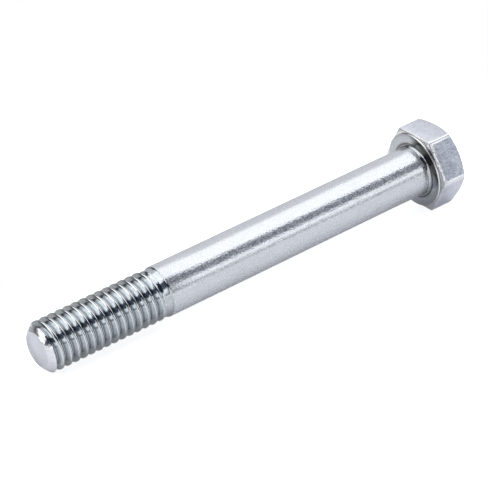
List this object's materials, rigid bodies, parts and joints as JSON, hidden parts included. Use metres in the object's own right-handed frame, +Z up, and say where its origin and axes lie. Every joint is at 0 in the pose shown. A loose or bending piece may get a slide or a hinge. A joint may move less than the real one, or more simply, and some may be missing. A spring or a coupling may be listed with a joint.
{
  "type": "hex bolt",
  "caption": "Partly threaded hex head bolt in bright zinc plate, with a plain shank, a raised washer face under the head and a chamfered point.",
  "frame": {"origin": "centre of the head's bearing face", "axes": "+Z up; the bolt lies on a flat floor with its head towards +X and its point towards -X, its axis 1.75 degrees off X because the point rests lower than the head; one flat of the hexagon is underneath"},
  "size_m": [0.0889, 0.0164, 0.0144],
  "materials": {
    "hex_bolt": "bright clear zinc electroplate with fine drawn and rolled grain"
  },
  "bodies": {
    "root": {"hex_bolt": "hex_bolt"}
  },
  "joints": []
}
